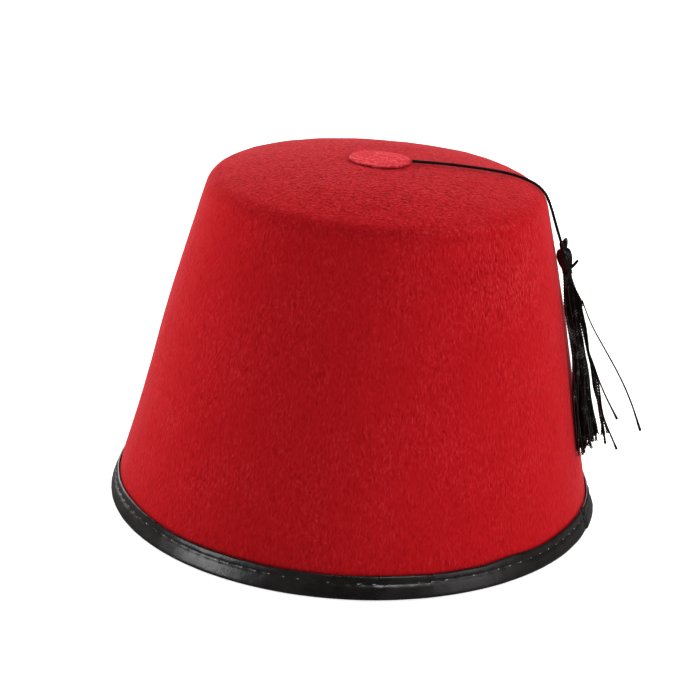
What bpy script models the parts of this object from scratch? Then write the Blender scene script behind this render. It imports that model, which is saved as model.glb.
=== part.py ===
"""A fez: an oval felt crown, a folded strip round its edge, a felt button on top,
and a thin cord that runs from the button over the crown's edge to a tassel.

Metres, +Z up. The origin is on the floor under the middle of the crown, the long way of the
head runs along Y, and the tassel hangs near +X.
"""

import math

import bmesh
import bpy
from mathutils import Matrix, Vector

# Crown
RIM_LENGTH = 0.190
RIM_WIDTH = 0.174
CROWN_HEIGHT = 0.125
TOP_LENGTH = 0.1238
TOP_WIDTH = 0.1186
DOME_RISE = 0.0079
DOME_POWER = 2.6
EDGE_RADIUS = 0.0084
FLANK_BULGE = 0.0011
RIM_FLARE = 0.0008
FLARE_REACH = 0.020
FELT = 0.0020

# Gap between pieces that lie against each other
GAP = 0.0003

# Strip folded over the crown's edge, with its ends lapped
STRIP = 0.0008
STRIP_OUTSIDE = 0.0076
STRIP_INSIDE = 0.0076
FOLD_RADIUS = 0.0011
LAP_STEP = 0.0004
LAP_LENGTH = 0.020
LAP_START_TURN = math.radians(3)

# Button
BUTTON_DIAMETER = 0.0218
BUTTON_THICKNESS = 0.0011
BUTTON_EDGE = 0.0004

# Cord
CORD_DIAMETER = 0.0012
CORD_POINTS = 56
# The cord's route from the button's edge, over the crown's edge, to the tassel's head.
CORD_ROUTE = [
    (0.0109, 0.0031, 0.1258),
    (0.0151, 0.0048, 0.1257),
    (0.0215, 0.0082, 0.1253),
    (0.0278, 0.0119, 0.1246),
    (0.0338, 0.0162, 0.1236),
    (0.0401, 0.0208, 0.1222),
    (0.0448, 0.0233, 0.1209),
    (0.0486, 0.0241, 0.1198),
    (0.0516, 0.0232, 0.1190),
    (0.0541, 0.0212, 0.1182),
    (0.0563, 0.0190, 0.1171),
    (0.0579, 0.0174, 0.1155),
    (0.0591, 0.0166, 0.1136),
    (0.0602, 0.0161, 0.1114),
    (0.0614, 0.0157, 0.1087),
    (0.0627, 0.0154, 0.1058),
    (0.0640, 0.0150, 0.1030),
    (0.0652, 0.0146, 0.1002),
]

# Tassel
TASSEL_TURN = math.radians(12)
TASSEL_TOP = 0.0990
TASSEL_LENGTH = 0.0735
HEAD_RADIUS = 0.0027
HEAD_LENGTH = 0.0074
NECK_LENGTH = 0.0050
SKIRT_SIDE = 0.0068
SKIRT_DEPTH = 0.0088
SKIRT_LEAN = -0.0045
# Share of the skirt's sideways spread that it has at the neck, and how late the rest comes.
SKIRT_NECK_SHARE = 0.12
SKIRT_FAN_POWER = 1.2
# Share of the neck's length at which the locks start inside it.
LOCK_START = 0.6
LOCK_RADIUS = 0.0013
# Radius of a lock at each of its points, from the neck to the cut end, as shares of LOCK_RADIUS.
LOCK_TAPER = [0.80, 0.95, 1.00, 1.00, 1.00, 0.92, 0.70]

# Fineness of the meshes
TURNS = 64
FLANK_RINGS = 9
EDGE_RINGS = 5
DOME_RINGS = 5
TASSEL_STEPS = 16
BUTTON_STEPS = 36
# The flank's rings lie closer near the edge, by this power of their share of the height.
RING_POWER = 1.2
SHARP_ANGLE = math.radians(30)

# Soft dents in the flank, pressed in or pushed out. The turn is where it lies round the crown,
# the height and its half span are shares of CROWN_HEIGHT, and the depth is a share of FELT.
DENT_COLUMNS = ("turn_deg", "half_turn_deg", "height", "half_height", "depth")
DENTS = [
    (-36, 20, 0.86, 0.09, 0.30),
    (-160, 45, 0.06, 0.16, -0.35),
]

# Turned outline of the tassel's head and neck, as shares of HEAD_RADIUS and HEAD_LENGTH.
HEAD_COLUMNS = ("radius", "drop")
HEAD_OUTLINE = [
    (0.00, 0.00),
    (0.50, 0.04),
    (0.84, 0.20),
    (1.00, 0.45),
    (0.96, 0.68),
    (0.78, 0.92),
    (0.66, 1.10),
]

# Locks of the skirt: where each ends, to the side as a share of SKIRT_SIDE, away from the felt
# as a share of SKIRT_DEPTH, and down as a share of TASSEL_LENGTH.
LOCK_COLUMNS = ("side", "depth", "length")
LOCKS = [
    (-1.00, 0.02, 1.00),
    (-0.52, 0.10, 0.98),
    (0.00, 0.12, 0.97),
    (0.52, 0.20, 0.98),
    (1.00, 0.28, 0.95),
    (-0.70, 0.58, 0.96),
    (-0.05, 0.60, 0.94),
    (0.62, 0.62, 0.93),
    (-0.25, 1.00, 0.93),
    (0.35, 0.96, 0.91),
]

# Colours, as linear red, green and blue
FELT_RED = (0.52, 0.012, 0.018)
STRIP_BLACK = (0.006, 0.006, 0.007)
CORD_BLACK = (0.008, 0.007, 0.008)

STAND_OFF = GAP + STRIP
EDGE_HEIGHT = CROWN_HEIGHT - DOME_RISE
BASE_HALF_LENGTH = RIM_LENGTH / 2 - STAND_OFF - RIM_FLARE
BASE_WIDTH_SHARE = (RIM_WIDTH / 2 - STAND_OFF) / (RIM_LENGTH / 2 - STAND_OFF)
TOP_WIDTH_SHARE = TOP_WIDTH / TOP_LENGTH


def start_scene():
    """Removes what the scene holds, and makes one collection for the hat and one for cutters."""
    for item in list(bpy.data.objects):
        bpy.data.objects.remove(item, do_unlink=True)
    made = {}
    for name in ("fez", "cutters"):
        made[name] = bpy.data.collections.new(name)
        bpy.context.scene.collection.children.link(made[name])
    return made["fez"], made["cutters"]


def material(name, colour, roughness):
    finish = bpy.data.materials.new(name)
    finish.use_nodes = True
    shader = finish.node_tree.nodes["Principled BSDF"]
    shader.inputs["Base Color"].default_value = (*colour, 1)
    shader.inputs["Roughness"].default_value = roughness
    shader.inputs["Metallic"].default_value = 0
    finish.diffuse_color = (*colour, 1)
    return finish


def rows(columns, table):
    return [dict(zip(columns, row)) for row in table]


# Shape of the felt's outer side


def half_length(height):
    """Half the crown's length at this height of the flank."""
    share = height / EDGE_HEIGHT
    straight = BASE_HALF_LENGTH + (TOP_LENGTH / 2 - BASE_HALF_LENGTH) * share
    bulge = FLANK_BULGE * 4 * share * (1 - share)
    flare = RIM_FLARE * math.exp(-height / FLARE_REACH)
    return straight + bulge + flare


def flank_slope(height):
    """How much the half length grows for each metre of height. It is negative."""
    step = EDGE_RADIUS / 100
    return (half_length(height + step) - half_length(height - step)) / (2 * step)


def width_share(height):
    share = min(height / EDGE_HEIGHT, 1)
    return BASE_WIDTH_SHARE + (TOP_WIDTH_SHARE - BASE_WIDTH_SHARE) * share


def dent_depth(turn, height):
    """How far the dents press the flank in here, as the sum of round soft bumps."""
    depth = 0
    for dent in rows(DENT_COLUMNS, DENTS):
        away = math.remainder(turn - math.radians(dent["turn_deg"]), math.tau)
        across = away / math.radians(dent["half_turn_deg"])
        up = (height / CROWN_HEIGHT - dent["height"]) / dent["half_height"]
        if abs(across) < 1 and abs(up) < 1:
            soft = math.cos(across * math.pi / 2) ** 2 * math.cos(up * math.pi / 2) ** 2
            depth += dent["depth"] * FELT * soft
    return depth


def outward(turn, height):
    """Level direction away from the flank."""
    return Vector((math.cos(turn) / width_share(height), math.sin(turn), 0)).normalized()


def felt_point(turn, half, height, out=0):
    """A point of the felt's outer side, moved level outwards by out."""
    around = Vector((half * width_share(height) * math.cos(turn), half * math.sin(turn), height))
    return around + outward(turn, height) * (out - dent_depth(turn, height))


def beside_flank(turn, height, away):
    """A point this far from the flank, measured square to it, and the directions out and up there."""
    level = outward(turn, height)
    lean = flank_slope(height)
    out = (level - Vector((0, 0, lean))).normalized()
    up = (level * lean + Vector((0, 0, 1))).normalized()
    return felt_point(turn, half_length(height), height) + out * away, out, up


def edge_arc():
    """Half length and height of points round the crown's top edge, from the flank to the dome."""
    flank = Vector((flank_slope(EDGE_HEIGHT), 1)).normalized()
    dome = Vector((-1, DOME_POWER * DOME_RISE / (TOP_LENGTH / 2))).normalized()
    corner = Vector((TOP_LENGTH / 2, EDGE_HEIGHT))
    start = corner - flank * EDGE_RADIUS * math.tan(flank.angle(dome) / 2)
    first = math.atan2(-flank.x, flank.y)
    last = math.atan2(-dome.x, dome.y)
    centre = start - Vector((math.cos(first), math.sin(first))) * EDGE_RADIUS
    arc = []
    for ring in range(EDGE_RINGS + 1):
        angle = first + (last - first) * ring / EDGE_RINGS
        arc.append(centre + Vector((math.cos(angle), math.sin(angle))) * EDGE_RADIUS)
    return arc


def dome_height(half):
    return EDGE_HEIGHT + DOME_RISE * (1 - (half / (TOP_LENGTH / 2)) ** DOME_POWER)


def felt_foot():
    """Height of the felt's outer lower edge, so that its inner one clears the folded strip."""
    lean = math.atan(-flank_slope(0))
    return STRIP + GAP + FELT * math.sin(lean)


def crown_outline():
    """Half length and height of each ring of the crown, from its foot to near the middle."""
    arc = edge_arc()
    outline = []
    for ring in range(FLANK_RINGS):
        share = (ring / FLANK_RINGS) ** RING_POWER
        height = felt_foot() + (arc[0].y - felt_foot()) * share
        outline.append((half_length(height), height))
    outline += [(point.x, point.y) for point in arc]
    for ring in range(1, DOME_RINGS):
        half = arc[-1].x * (1 - ring / DOME_RINGS)
        outline.append((half, dome_height(half)))
    return outline


# Meshes


def add_object(name, mesh, collection, finish):
    item = bpy.data.objects.new(name, mesh)
    collection.objects.link(item)
    mesh.materials.append(finish)
    return item


def loft(name, rings, join_ends=False):
    """Faces between rings of as many points each. join_ends also joins the last ring to the first."""
    made = bmesh.new()
    grid = [[made.verts.new(point) for point in ring] for ring in rings]
    pairs = list(zip(grid, grid[1:]))
    if join_ends:
        pairs.append((grid[-1], grid[0]))
    for low, high in pairs:
        for here in range(len(low)):
            there = (here + 1) % len(low)
            made.faces.new((low[here], low[there], high[there], high[here]))
    mesh = bpy.data.meshes.new(name)
    return made, grid, mesh


def finish_mesh(made, mesh):
    bmesh.ops.recalc_face_normals(made, faces=made.faces)
    made.to_mesh(mesh)
    made.free()
    mesh.shade_smooth()
    mesh.set_sharp_from_angle(angle=SHARP_ANGLE)


def build_crown(collection, finish):
    """The felt crown: its outer side as rings lofted from foot to dome, given its thickness."""
    turns = [math.tau * step / TURNS for step in range(TURNS)]
    rings = []
    for half, height in crown_outline():
        rings.append([felt_point(turn, half, height) for turn in turns])
    made, grid, mesh = loft("crown", rings)
    middle = made.verts.new((0, 0, CROWN_HEIGHT))
    for here in range(TURNS):
        made.faces.new((grid[-1][here], grid[-1][(here + 1) % TURNS], middle))
    finish_mesh(made, mesh)
    crown = add_object("crown", mesh, collection, finish)
    wall = crown.modifiers.new("felt", "SOLIDIFY")
    wall.thickness = FELT
    wall.offset = -1
    wall.use_even_offset = True
    return crown


def strip_section(step):
    """Closed outline of the folded strip: how far out from the felt's outer side, and the height."""
    wall = FELT * math.hypot(1, flank_slope(0))
    outer = STAND_OFF + step
    inner = -wall - STAND_OFF
    round_off = FOLD_RADIUS * (1 - math.sqrt(0.5))
    return [
        (outer, STRIP_OUTSIDE),
        (outer, FOLD_RADIUS),
        (outer - round_off, round_off),
        (outer - FOLD_RADIUS, 0),
        (inner + FOLD_RADIUS, 0),
        (inner + round_off, round_off),
        (inner, FOLD_RADIUS),
        (inner, STRIP_INSIDE),
        (-wall - GAP, STRIP_INSIDE),
        (-wall - GAP, STRIP),
        (GAP, STRIP),
        (GAP, STRIP_OUTSIDE),
    ]


def strip_turns():
    """The turns of the strip's sections, each with how far it stands out where its ends lap."""
    lap_turn = LAP_LENGTH / (RIM_WIDTH / 2)
    edge = LAP_STEP / (RIM_WIDTH / 2) / 2
    stops = [
        (LAP_START_TURN - edge, 0),
        (LAP_START_TURN + edge, LAP_STEP),
        (LAP_START_TURN + lap_turn - edge, LAP_STEP),
        (LAP_START_TURN + lap_turn + edge, 0),
    ]
    for step in range(TURNS):
        turn = math.tau * step / TURNS
        if all(abs(math.remainder(turn - stop, math.tau)) > 3 * edge for stop, _ in stops):
            inside = LAP_START_TURN < turn < LAP_START_TURN + lap_turn
            stops.append((turn, LAP_STEP if inside else 0))
    return sorted(stops)


def build_edge_binding(collection, finish):
    """The strip folded over the crown's edge, as one closed section carried round the oval."""
    rings = []
    for turn, step in strip_turns():
        ring = []
        for out, height in strip_section(step):
            ring.append(felt_point(turn, half_length(height), height, out))
        rings.append(ring)
    made, _, mesh = loft("edge_binding", rings, join_ends=True)
    finish_mesh(made, mesh)
    return add_object("edge_binding", mesh, collection, finish)


def turned(name, outline, steps, collection, finish):
    """A solid turned round Z from an outline that runs down its outer side, top to bottom."""
    made = bmesh.new()
    points = [made.verts.new((radius, 0, height)) for radius, height in outline]
    for above, below in zip(points, points[1:]):
        made.edges.new((above, below))
    mesh = bpy.data.meshes.new(name)
    made.to_mesh(mesh)
    made.free()
    item = add_object(name, mesh, collection, finish)
    screw = item.modifiers.new("turned", "SCREW")
    screw.steps = steps
    screw.render_steps = steps
    screw.use_merge_vertices = True
    screw.merge_threshold = 0.00001
    screw.use_smooth_shade = True
    return item


def build_button(collection, finish):
    """The felt button, which follows the dome under it and has a softened edge."""
    radius = BUTTON_DIAMETER / 2
    middle = dome_height(0) + GAP
    halfway = dome_height(radius / 2 / TOP_WIDTH_SHARE) + GAP
    rim = dome_height(radius / TOP_WIDTH_SHARE) + GAP
    outline = [
        (0, middle + BUTTON_THICKNESS),
        (radius / 2, halfway + BUTTON_THICKNESS),
        (radius - BUTTON_EDGE, rim + BUTTON_THICKNESS),
        (radius - BUTTON_EDGE * 0.3, rim + BUTTON_THICKNESS - BUTTON_EDGE * 0.3),
        (radius, rim + BUTTON_THICKNESS - BUTTON_EDGE),
        (radius, rim + BUTTON_EDGE / 2),
        (radius - BUTTON_EDGE / 2, rim),
        (radius / 2, halfway),
        (0, middle),
    ]
    return turned("top_button", outline, BUTTON_STEPS, collection, finish)


def smooth_path(points, count):
    """Evenly spaced points on the smooth curve that passes through these ones."""
    ends = [2 * points[0] - points[1]] + points + [2 * points[-1] - points[-2]]
    fine = []
    parts = 24
    for before, here, there, after in zip(ends, ends[1:], ends[2:], ends[3:]):
        for part in range(parts):
            t = part / parts
            swing = (3 * here - 3 * there + after - before) * t ** 3
            bend = (2 * before - 5 * here + 4 * there - after) * t ** 2
            fine.append(here + ((there - before) * t + bend + swing) / 2)
    fine.append(points[-1])
    along = [0]
    for here, there in zip(fine, fine[1:]):
        along.append(along[-1] + (there - here).length)
    path = []
    spot = 0
    for step in range(count):
        wanted = along[-1] * step / (count - 1)
        while spot < len(fine) - 2 and along[spot + 1] < wanted:
            spot += 1
        share = (wanted - along[spot]) / (along[spot + 1] - along[spot])
        path.append(fine[spot].lerp(fine[spot + 1], share))
    return path


def tube(name, path, radii, collection, finish):
    curve = bpy.data.curves.new(name, "CURVE")
    curve.dimensions = "3D"
    curve.bevel_depth = 1
    curve.bevel_resolution = 2
    curve.use_fill_caps = True
    spline = curve.splines.new("POLY")
    spline.points.add(len(path) - 1)
    for spot, place, radius in zip(spline.points, path, radii):
        spot.co = (*place, 1)
        spot.radius = radius
    curve.materials.append(finish)
    item = bpy.data.objects.new(name, curve)
    collection.objects.link(item)
    return item


def build_cord(collection, finish):
    path = smooth_path([Vector(point) for point in CORD_ROUTE], CORD_POINTS)
    return tube("cord", path, [CORD_DIAMETER / 2] * CORD_POINTS, collection, finish)


def meshed(item):
    """The curve object as a mesh object with its caps joined to its sides."""
    graph = bpy.context.evaluated_depsgraph_get()
    mesh = bpy.data.meshes.new_from_object(item.evaluated_get(graph))
    made = bmesh.new()
    made.from_mesh(mesh)
    bmesh.ops.remove_doubles(made, verts=made.verts, dist=0.000001)
    made.to_mesh(mesh)
    made.free()
    name = item.name
    collection = item.users_collection[0]
    place = item.matrix_world.copy()
    bpy.data.objects.remove(item)
    solid = bpy.data.objects.new(name, mesh)
    solid.matrix_world = place
    collection.objects.link(solid)
    return solid


def lock_path(lock):
    """Points down the middle of one lock, from inside the neck to its cut end."""
    neck_drop = (HEAD_LENGTH + NECK_LENGTH * LOCK_START) / TASSEL_LENGTH
    start_away = GAP + HEAD_RADIUS
    end_away = GAP + LOCK_RADIUS + lock["depth"] * SKIRT_DEPTH
    path = []
    for step in range(len(LOCK_TAPER)):
        share = step / (len(LOCK_TAPER) - 1)
        drop = TASSEL_LENGTH * (neck_drop + (lock["length"] - neck_drop) * share)
        height = TASSEL_TOP - drop
        fan = SKIRT_NECK_SHARE + (1 - SKIRT_NECK_SHARE) * share ** SKIRT_FAN_POWER
        side = lock["side"] * SKIRT_SIDE * fan + SKIRT_LEAN * share
        away = start_away + (end_away - start_away) * math.sin(share * math.pi / 2)
        turn = TASSEL_TURN + side / half_length(height)
        path.append(beside_flank(turn, height, away)[0])
    return path


def build_tassel(collection, cutters, finish):
    """The tassel: a turned head and neck, with the locks of its skirt joined to it."""
    place, out, up = beside_flank(TASSEL_TURN, TASSEL_TOP, GAP + HEAD_RADIUS)
    outline = []
    for row in rows(HEAD_COLUMNS, HEAD_OUTLINE):
        outline.append((row["radius"] * HEAD_RADIUS, -row["drop"] * HEAD_LENGTH))
    neck = outline[-1][0]
    foot = -(HEAD_LENGTH + NECK_LENGTH)
    outline += [(neck, foot), (0, foot)]
    tassel = turned("tassel", outline, TASSEL_STEPS, collection, finish)
    tassel.matrix_world = Matrix(
        (
            (out.x, up.cross(out).x, up.x, place.x),
            (out.y, up.cross(out).y, up.y, place.y),
            (out.z, up.cross(out).z, up.z, place.z),
            (0, 0, 0, 1),
        )
    )
    radii = [LOCK_RADIUS * share for share in LOCK_TAPER]
    for number, lock in enumerate(rows(LOCK_COLUMNS, LOCKS), start=1):
        strand = meshed(tube(f"lock_{number:02d}", lock_path(lock), radii, cutters, finish))
        strand.hide_render = True
        strand.display_type = "WIRE"
        join = tassel.modifiers.new(strand.name, "BOOLEAN")
        join.operation = "UNION"
        join.object = strand
    return tassel


def main():
    fez, cutters = start_scene()
    felt = material("red_felt", FELT_RED, 0.95)
    vinyl = material("black_vinyl", STRIP_BLACK, 0.25)
    rayon = material("black_rayon", CORD_BLACK, 0.5)
    build_crown(fez, felt)
    build_edge_binding(fez, vinyl)
    build_button(fez, felt)
    build_cord(fez, rayon)
    build_tassel(fez, cutters, rayon)


main()
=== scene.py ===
# %% [markdown]
# # A red felt fez
# A fez is a blocked felt crown with a strip folded round its edge, a felt button on top, and a
# thin cord that carries a tassel. The plain solids of those five pieces are loaded first. They
# fix every size and place. Each piece is then modelled again as it looks, with its finish.

# %% Load the frame
import math
import random

import bpy
from mathutils import Matrix, Vector, noise


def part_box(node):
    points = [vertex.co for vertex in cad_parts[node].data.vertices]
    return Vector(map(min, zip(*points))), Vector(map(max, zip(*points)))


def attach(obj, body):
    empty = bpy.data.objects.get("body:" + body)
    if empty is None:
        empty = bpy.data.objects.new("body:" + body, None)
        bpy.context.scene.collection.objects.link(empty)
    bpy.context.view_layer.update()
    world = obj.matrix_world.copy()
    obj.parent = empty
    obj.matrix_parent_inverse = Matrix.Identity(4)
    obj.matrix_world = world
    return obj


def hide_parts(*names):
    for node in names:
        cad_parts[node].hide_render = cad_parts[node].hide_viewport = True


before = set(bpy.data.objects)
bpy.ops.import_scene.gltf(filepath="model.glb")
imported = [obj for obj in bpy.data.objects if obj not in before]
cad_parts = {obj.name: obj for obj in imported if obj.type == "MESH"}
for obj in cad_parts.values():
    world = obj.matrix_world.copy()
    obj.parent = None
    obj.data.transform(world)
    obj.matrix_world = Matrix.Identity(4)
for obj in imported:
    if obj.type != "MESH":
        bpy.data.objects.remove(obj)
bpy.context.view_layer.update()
print("pieces:", sorted(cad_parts))

# %% [markdown]
# ## Camera
# The hat was photographed from a little above its middle, with a long lens, and the camera was
# held a few degrees out of level. A look direction gives a level camera, so its right and up
# axes are turned about that direction by the roll. The small shift moves the frame, not the view.

# %% Camera
CAMERA_PLACE = Vector((0.22315, -0.70342, 0.31564))
CAMERA_TARGET = Vector((0, 0, 0.05599))
CAMERA_ROLL = math.radians(4.52)
CAMERA_LENS = 111.16
CAMERA_SHIFT = (-0.0219, -0.0068)


def add_camera():
    camera = bpy.data.cameras.new("camera")
    camera.lens = CAMERA_LENS
    camera.sensor_width = 36
    camera.shift_x, camera.shift_y = CAMERA_SHIFT
    camera.clip_start = 0.01
    holder = bpy.data.objects.new("camera", camera)
    bpy.context.scene.collection.objects.link(holder)
    back = (CAMERA_PLACE - CAMERA_TARGET).normalized()
    right = Vector((0, 0, 1)).cross(back).normalized()
    up = back.cross(right)
    turned_right = right * math.cos(CAMERA_ROLL) + up * math.sin(CAMERA_ROLL)
    turned_up = up * math.cos(CAMERA_ROLL) - right * math.sin(CAMERA_ROLL)
    axes = Matrix((turned_right, turned_up, back)).transposed()
    holder.matrix_world = Matrix.Translation(CAMERA_PLACE) @ axes.to_4x4()
    bpy.context.scene.camera = holder
    return holder


camera = add_camera()
print("camera", round((CAMERA_PLACE - CAMERA_TARGET).length, 3), "m from the hat's middle")

# %% [markdown]
# ## Twisted cord
# A cord is a few yarns twisted round each other. Its route is a short list of points on the felt,
# from the button over the shoulder to the tassel. A smooth curve goes through them, and each yarn
# is a tube that winds round that curve. Modelled yarns catch the light as a real twist does,
# which a plain tube with a bump can't do along its outline.

# %% Smooth line through a few points
CORD_DIAMETER = 0.0012
CORD_TWIST = 0.0032
CORD_SPACING = 0.0004
CURVE_STEPS = 24
CORD_ROUTE = [
    (0.0109, 0.0031, 0.1258),
    (0.0151, 0.0048, 0.1257),
    (0.0215, 0.0082, 0.1253),
    (0.0278, 0.0119, 0.1246),
    (0.0338, 0.0162, 0.1236),
    (0.0401, 0.0208, 0.1222),
    (0.0448, 0.0233, 0.1209),
    (0.0486, 0.0241, 0.1198),
    (0.0516, 0.0232, 0.1190),
    (0.0541, 0.0212, 0.1182),
    (0.0563, 0.0190, 0.1171),
    (0.0579, 0.0174, 0.1155),
    (0.0591, 0.0166, 0.1136),
    (0.0602, 0.0161, 0.1114),
    (0.0614, 0.0157, 0.1087),
    (0.0627, 0.0154, 0.1058),
    (0.0640, 0.0150, 0.1030),
    (0.0652, 0.0146, 0.1002),
]


def shares(count):
    """So many even steps from 0 to 1."""
    return [step / (count - 1) for step in range(count)]


def smooth_line(points, spacing):
    """Points this far apart on the smooth curve that passes through the given ones."""
    points = [Vector(point) for point in points]
    ends = [2 * points[0] - points[1]] + points + [2 * points[-1] - points[-2]]
    fine = []
    for before, here, there, after in zip(ends, ends[1:], ends[2:], ends[3:]):
        for part in range(CURVE_STEPS):
            t = part / CURVE_STEPS
            swing = (3 * here - 3 * there + after - before) * t ** 3
            bend = (2 * before - 5 * here + 4 * there - after) * t ** 2
            fine.append(here + ((there - before) * t + bend + swing) / 2)
    fine.append(points[-1])
    along = [0]
    for here, there in zip(fine, fine[1:]):
        along.append(along[-1] + (there - here).length)
    count = max(2, round(along[-1] / spacing) + 1)
    line = []
    spot = 0
    for step in range(count):
        wanted = along[-1] * step / (count - 1)
        while spot < len(fine) - 2 and along[spot + 1] < wanted:
            spot += 1
        share = (wanted - along[spot]) / (along[spot + 1] - along[spot])
        line.append(fine[spot].lerp(fine[spot + 1], share))
    return line


def line_length(line):
    """Its length from point to point."""
    return sum((there - here).length for here, there in zip(line, line[1:]))


cord_line = smooth_line(CORD_ROUTE, CORD_SPACING)
print("cord", round(line_length(cord_line) * 1000, 1), "mm long")

# %% Tubes along lines, and yarns twisted round a line
# Radius of a yarn as a share of the cord's, for two and three yarns that press on each other.
YARN_SHARE = {2: 0.54, 3: 0.50}


def side_axes(line):
    """Two directions square to the line at each of its points, which turn as little as they can."""
    axes = []
    ahead = (line[1] - line[0]).normalized()
    side = ahead.orthogonal().normalized()
    for here, (before, after) in enumerate(zip([line[0]] + line[:-1], line[1:] + [line[-1]])):
        ahead = (after - before).normalized()
        side = (side - ahead * side.dot(ahead)).normalized()
        axes.append((side, ahead.cross(side)))
    return axes


def tube_shell(vertices, faces, line, radii, sides):
    """Adds a closed tube along the line to the lists of vertices and faces."""
    first = len(vertices)
    for place, radius, (side, up) in zip(line, radii, side_axes(line)):
        for turn in range(sides):
            angle = math.tau * turn / sides
            vertices.append(place + (side * math.cos(angle) + up * math.sin(angle)) * radius)
    for ring in range(len(line) - 1):
        for turn in range(sides):
            here = first + ring * sides + turn
            there = first + ring * sides + (turn + 1) % sides
            faces.append((here, there, there + sides, here + sides))
    faces.append(tuple(first + turn for turn in reversed(range(sides))))
    last = first + (len(line) - 1) * sides
    faces.append(tuple(last + turn for turn in range(sides)))


def yarns(line, width, twist, count, start=0.0):
    """Lines of so many yarns that wind round the line, one full turn for each length of twist."""
    reach = width / 2 - width / 2 * YARN_SHARE[count]
    made = [[] for _ in range(count)]
    gone = 0
    last = line[0]
    for place, (side, up) in zip(line, side_axes(line)):
        gone += (place - last).length
        last = place
        for number in range(count):
            angle = start + math.tau * (gone / twist + number / count)
            made[number].append(place + (side * math.cos(angle) + up * math.sin(angle)) * reach)
    return made


def mesh_piece(name, vertices, faces, finish):
    """A smooth piece from lists of vertices and faces, with this finish."""
    mesh = bpy.data.meshes.new(name)
    mesh.from_pydata(vertices, [], faces)
    mesh.update()
    mesh.shade_smooth()
    mesh.materials.append(finish)
    piece = bpy.data.objects.new(name, mesh)
    bpy.context.scene.collection.objects.link(piece)
    return piece


def mark_painted_glints(piece, shares):
    """Stores for each vertex how strongly a painted glint shows there, from 0 to 1, most at its
    thread's outermost spot.
    """
    crown = piece.data.attributes.new("crown", "FLOAT", "POINT")
    for number, share in enumerate(shares):
        crown.data[number].value = share


# %% [markdown]
# ## Finishes
# Colours are picked as sRGB hex values, and Blender's shaders want linear light, so one function
# turns them. Another adds a node with its settings and links, and every finish is built with it.

# %% Colour and node helpers


def linear(code):
    """An sRGB hex colour as linear red, green, blue and alpha."""
    parts = [int(code[start:start + 2], 16) / 255 for start in (1, 3, 5)]
    return tuple(c / 12.92 if c <= 0.04045 else ((c + 0.055) / 1.055) ** 2.4 for c in parts) + (1,)


def set_inputs(tree, node, inputs):
    """Gives a node's inputs these values, or links them from these sockets."""
    for name, value in inputs.items():
        if isinstance(value, bpy.types.NodeSocket):
            tree.links.new(value, node.inputs[name])
        else:
            node.inputs[name].default_value = value


def add_node(tree, kind, settings=None, inputs=None):
    """Adds a node. settings are its properties. inputs are values, or sockets to link from."""
    node = tree.nodes.new(kind)
    for name, value in (settings or {}).items():
        setattr(node, name, value)
    set_inputs(tree, node, inputs or {})
    return node


def new_finish(name):
    """An empty finish: its node tree, its Principled shader and the object's own coordinates."""
    finish = bpy.data.materials.new(name)
    finish.use_nodes = True
    tree = finish.node_tree
    shader = tree.nodes["Principled BSDF"]
    place = add_node(tree, "ShaderNodeTexCoord").outputs["Object"]
    return finish, tree, shader, place


def ramp(tree, factor, stops):
    """A colour ramp with these positions and colours."""
    node = add_node(tree, "ShaderNodeValToRGB", inputs={"Fac": factor})
    for number, (position, colour) in enumerate(stops):
        if number < 2:
            stop = node.color_ramp.elements[number]
            stop.position = position
        else:
            stop = node.color_ramp.elements.new(position)
        stop.color = colour
    return node.outputs["Color"]


# %% [markdown]
# ### Wool felt
# Felt is wool fibre that is wetted, matted and pressed over a block. It is matt, with a soft pink
# glow at grazing angles, which is the shader's sheen. Its look comes from the fibres that lie on
# the surface: light curled ones, and dark slots between them. A noise draws both, its low values
# as slots and its high values as fibres, and the same noise raises the surface. The slots' dark
# tones are partly painted shade between the fibres, and the fibres' light tones partly a painted
# sheen. On the flank the pattern is drawn out upwards, as the felt was pulled over its block, and
# it is faint. On the top it is even in all directions, coarser and stronger, partly as painted
# shade and highlight where the light grazes the top, and one fades into the other over the
# shoulder. An attribute of the piece tells where the nap was rubbed up. There the fibres show as
# strongly as on the top, and the felt is a little paler. Along the crease the same attribute paints
# a pale highlight line on the ridge. The fibres are drawn 0.7 and 1.1 mm across, since real ones,
# a few hundredths of a millimetre thick, are too fine to show.

# %% Node helpers for noise and numbers


def span(tree, value, low, high, low_to=0.0, high_to=1.0):
    """Reads a value between low and high as one between low_to and high_to, softly."""
    return add_node(tree, "ShaderNodeMapRange", {"interpolation_type": "SMOOTHSTEP"}, {
        "Value": value, "From Min": low, "From Max": high, "To Min": low_to, "To Max": high_to,
    }).outputs["Result"]


def arithmetic(tree, operation, first, second):
    """One step of arithmetic on two values or sockets."""
    return add_node(tree, "ShaderNodeMath", {"operation": operation}, {
        0: first, 1: second,
    }).outputs["Value"]


def mixed(tree, factor, first, second, kind="FLOAT"):
    """Goes from the first value or colour to the second as the factor goes from 0 to 1."""
    return add_node(tree, "ShaderNodeMix", {"data_type": kind}, {
        "Factor": factor, "A": first, "B": second,
    }).outputs["Result"]


def grain(tree, place, size, detail=2.0, **more):
    """A noise with features of this size in metres."""
    return add_node(tree, "ShaderNodeTexNoise", inputs={
        "Vector": place, "Scale": 1 / size, "Detail": detail, **more,
    })


def cloud(tree, place, size, offset=0.0, detail=2.0, distortion=0.0):
    """The same noise, away from the others by the offset."""
    moved = add_node(tree, "ShaderNodeVectorMath", {"operation": "ADD"}, {
        0: place, 1: (offset, 0.7 * offset, 1.3 * offset),
    }).outputs["Vector"]
    return grain(tree, moved, size, detail, Distortion=distortion)


def raised(tree, height, distance, strength=1.0):
    """The normal of a surface that is raised by this distance where the height is 1."""
    return add_node(tree, "ShaderNodeBump", inputs={
        "Height": height, "Distance": distance, "Strength": strength,
    }).outputs["Normal"]


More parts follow.
